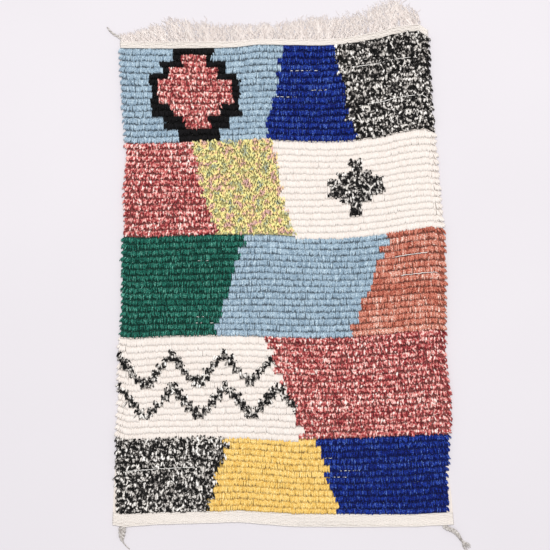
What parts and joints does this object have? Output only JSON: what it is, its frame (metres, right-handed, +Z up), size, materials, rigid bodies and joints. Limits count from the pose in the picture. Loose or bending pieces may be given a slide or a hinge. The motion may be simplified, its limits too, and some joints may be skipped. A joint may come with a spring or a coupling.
{
  "type": "boucherouite rug",
  "caption": "Short-piled hand-knotted rug with ridged rows of yarn, a warp fringe at one end and knotted corners, for laying flat on a floor.",
  "frame": {"origin": "centre of the bounding box at the underside, on the floor", "axes": "+Z up from the floor, +Y along the rug's length towards the fringe, +X across its width"},
  "size_m": [1.1299, 1.7117, 0.0172],
  "materials": {
    "pile_yarn": "soft spun wool and rag yarn, knotted and cut, in blocks of sky blue, royal blue, green, golden yellow, coral, cream and marled yarns",
    "warp_cotton": "undyed twisted cotton, slightly wavy",
    "corner_yarn": "undyed plied and plaited warp yarn, greyed"
  },
  "bodies": {
    "root": {"rug_field": "pile_yarn", "warp_fringe": "warp_cotton", "corner_tail_top_left": "corner_yarn", "corner_tassel_left": "corner_yarn", "corner_braid_right": "corner_yarn"}
  },
  "joints": []
}
